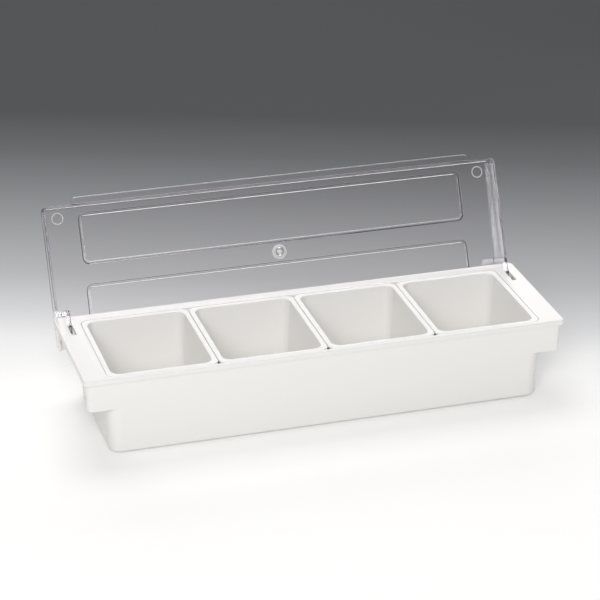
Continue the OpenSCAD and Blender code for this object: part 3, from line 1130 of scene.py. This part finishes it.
@dataclass(frozen=True)
class Softbox:
    """A softbox, given by where it stands, where it faces and how bright its cloth is."""

    name: str
    place_m: Spot
    aim_m: Spot
    width_m: float
    height_m: float
    brightness: float

    def build(self) -> bpy.types.Object:
        """Makes the lamp.

        Returns:
            The lamp object.
        """
        light = bpy.data.lights.new(self.name, "AREA")
        light.shape = "RECTANGLE"
        light.size = self.width_m
        light.size_y = self.height_m
        light.energy = self.brightness * math.pi * self.width_m * self.height_m
        lamp = bpy.data.objects.new(self.name, light)
        lamp.location = self.place_m
        beam = Vector(self.aim_m) - Vector(self.place_m)
        lamp.rotation_euler = beam.to_track_quat("-Z", "Y").to_euler()
        bpy.context.scene.collection.objects.link(lamp)
        return lamp


@dataclass
class Studio:
    """Floor, softboxes and even light round the caddy."""

    floor_half_m: float = 9.0
    room_level: float = 0.33
    backdrop_level: float = 0.10
    softboxes: tuple[Softbox, ...] = (
        Softbox("top_softbox", (0.0, 0.83, 1.75), (0.0, 0.1, 0.1), 1.2, 0.95, 2.9),
        Softbox("key_softbox", (-1.0, -2.5, 1.8), (0.0, 0.0, 0.1), 1.4, 1.3, 9.3),
        Softbox("back_softbox", (0.6, 3.2, 1.4), (0.0, 0.1, 0.1), 3.0, 1.6, 2.5),
        Softbox("side_softbox", (1.0, 0.45, 0.22), (0.2, 0.08, 0.1), 0.7, 0.4, 1.0),
    )

    def build(self) -> None:
        """Makes the floor, the softboxes and the world."""
        self.floor()
        for softbox in self.softboxes:
            softbox.build()
        world = bpy.data.worlds.new("room")
        world.use_nodes = True
        nodes = NodeTree(world.node_tree)
        shade = world.node_tree.nodes["Background"]
        shade.inputs["Color"].default_value = (1, 1, 1, 1)
        fall = self.backdrop_level - self.room_level
        level = nodes.math("MULTIPLY_ADD", seen_ray(nodes), fall, self.room_level)
        nodes.join(level, shade.inputs["Strength"])
        bpy.context.scene.world = world

    def floor(self) -> None:
        """Makes the floor."""
        half = self.floor_half_m
        mesh = bpy.data.meshes.new("floor")
        corners = [(-half, -half, 0), (half, -half, 0), (half, half, 0), (-half, half, 0)]
        mesh.from_pydata(corners, [], [(0, 1, 2, 3)])
        floor = link("floor", mesh)
        mesh.materials.append(PaleFloor().material())


def seen_ray(nodes: NodeTree) -> bpy.types.NodeSocket:
    """Tells the rays that show a thing from the rays that light it.

    Args:
        nodes: A shader tree.

    Returns:
        A socket with 1 for rays that come straight or by way of clear or glossy things, and 0 for others.
    """
    ray = nodes.add("ShaderNodeLightPath")
    seen = nodes.math("MAXIMUM", ray.outputs["Is Camera Ray"], ray.outputs["Is Glossy Ray"])
    return nodes.math("MAXIMUM", seen, ray.outputs["Is Transmission Ray"])


@dataclass(frozen=True)
class PaleFloor(Finish):
    """Pale floor whose colour falls off to grey a little way behind the caddy, as painted shade for the light
    falling off there.
    """

    name: str = "pale_floor"
    turn_deg: float = 20.3
    lift: float = 0.16
    near_tint: Colour = (1.0, 0.992, 0.975)
    far_tint: Colour = (0.975, 1.0, 1.06)
    # Painted shade: the floor's colour darkens with distance behind the caddy, standing in for the light
    # falling off there.
    shade_stops: tuple[Point, ...] = (
        (-0.12, 0.93), (0.0, 0.90), (0.11, 0.78), (0.18, 0.61), (0.28, 0.43),
        (0.40, 0.315), (0.52, 0.218), (0.66, 0.13), (0.80, 0.083),
    )

    def painted_shade_colour(self, level: float) -> tuple[float, float, float, float]:
        """The floor's colour at a level of painted shade, cooler where the painted shade is darker."""
        tint = [far + (near - far) * level for near, far in zip(self.near_tint, self.far_tint)]
        return (level * tint[0], level * tint[1], level * tint[2], 1.0)

    def shade(self, nodes: NodeTree, output: bpy.types.Node) -> None:
        """Builds the shader of the finish.

        Args:
            nodes: The material's tree.
            output: Its output node.
        """
        near, far = self.shade_stops[0][0], self.shade_stops[-1][0]
        place = nodes.add("ShaderNodeTexCoord").outputs["Object"]
        dot = nodes.add("ShaderNodeVectorMath", operation="DOT_PRODUCT")
        turn = math.radians(self.turn_deg)
        dot.inputs[1].default_value = (math.sin(turn), math.cos(turn), 0)
        nodes.join(place, dot.inputs[0])
        depth = nodes.math("DIVIDE", nodes.math("SUBTRACT", dot.outputs["Value"], near), far - near)
        # The ramp paints the shade that darkens the floor behind the caddy into its colour.
        ramp = nodes.add("ShaderNodeValToRGB")
        marks = ramp.color_ramp.elements
        marks[0].position, marks[0].color = 0.0, self.painted_shade_colour(self.shade_stops[0][1])
        marks[1].position, marks[1].color = 1.0, self.painted_shade_colour(self.shade_stops[-1][1])
        for distance, level in self.shade_stops[1:-1]:
            mark = marks.new((distance - near) / (far - near))
            mark.color = self.painted_shade_colour(level)
        nodes.join(depth, ramp.inputs[0])
        colour = ramp.outputs["Color"]
        paint = nodes.fed("ShaderNodeBsdfDiffuse", (colour,))
        lift = nodes.fed("ShaderNodeEmission", (colour, nodes.math("MULTIPLY", seen_ray(nodes), self.lift)))
        nodes.join(nodes.fed("ShaderNodeAddShader", (paint, lift)), output.inputs["Surface"])


def main() -> None:
    """Loads the frame, builds the pieces in order and reports each."""
    logging.basicConfig(level=logging.INFO, format="%(name)s: %(message)s")
    bpy.context.scene.view_settings.view_transform = "Standard"
    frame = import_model()
    packed = frame["nodes"]
    white, clear, steel = MouldedWhite(), ClearPlastic(), GroundSteel()
    base = "caddy_base"
    forms = [CadForm(base + "_moulding", packed[base], base, "base", "white_base", white)]
    forms.append(ClearLid(finish=clear))
    for side in ("left", "right"):
        arm, pin = f"hinge_arm_{side}", f"hinge_pin_{side}"
        forms.append(
            CadForm(arm + "_moulding", packed[arm], arm, "lid", "clear_arm", clear, edge_mm=0.6, edge_steps=4)
        )
        forms.append(CadForm(pin + "_rod", packed[pin], pin, "base", "pin_steel", steel))
    pieces = [form.build() for form in forms] + InsertRow(finish=white).build()
    for piece in pieces:
        LOG.info("%s: %d faces", piece.name, len(piece.data.polygons))
    Camera().build()
    Studio().build()


if __name__ == "__main__":
    main()
